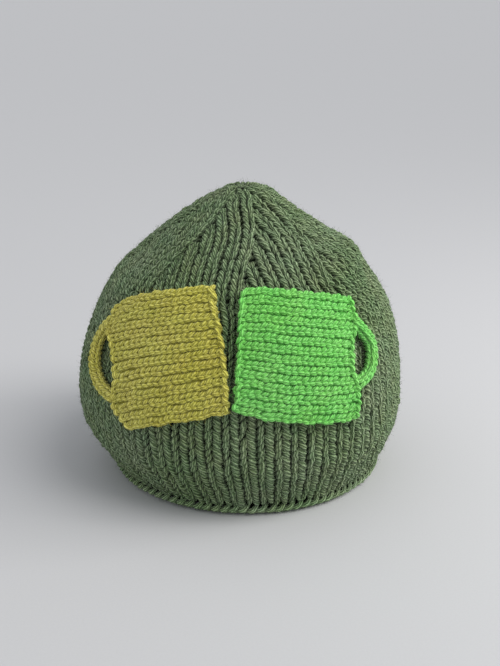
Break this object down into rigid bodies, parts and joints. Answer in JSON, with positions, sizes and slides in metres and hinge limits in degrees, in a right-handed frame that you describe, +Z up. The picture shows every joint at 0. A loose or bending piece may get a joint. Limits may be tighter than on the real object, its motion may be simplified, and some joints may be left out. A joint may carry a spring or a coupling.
{
  "type": "knitted tea cosy",
  "caption": "Rounded pot cover in ribbed knitting with a gathered crown, side openings and knitted mug shapes sewn on the front.",
  "frame": {"origin": "centre of the bounding box on the surface that the hem stands on", "axes": "+Z up through the gathered top, -Y out of the front with the mugs, -X out of the spout opening, +X out of the handle opening"},
  "size_m": [0.1696, 0.1749, 0.1535],
  "materials": {
    "ribbed_yarn": "marled grey-green plied yarn in one by one rib",
    "olive_yarn": "olive plied yarn in stocking stitch",
    "bright_green_yarn": "bright green plied yarn in stocking stitch"
  },
  "bodies": {
    "root": {"cosy_front": "ribbed_yarn", "cosy_back": "ribbed_yarn", "mug_olive": "olive_yarn", "mug_olive_handle": "olive_yarn", "mug_green": "bright_green_yarn", "mug_green_handle": "bright_green_yarn"}
  },
  "joints": []
}
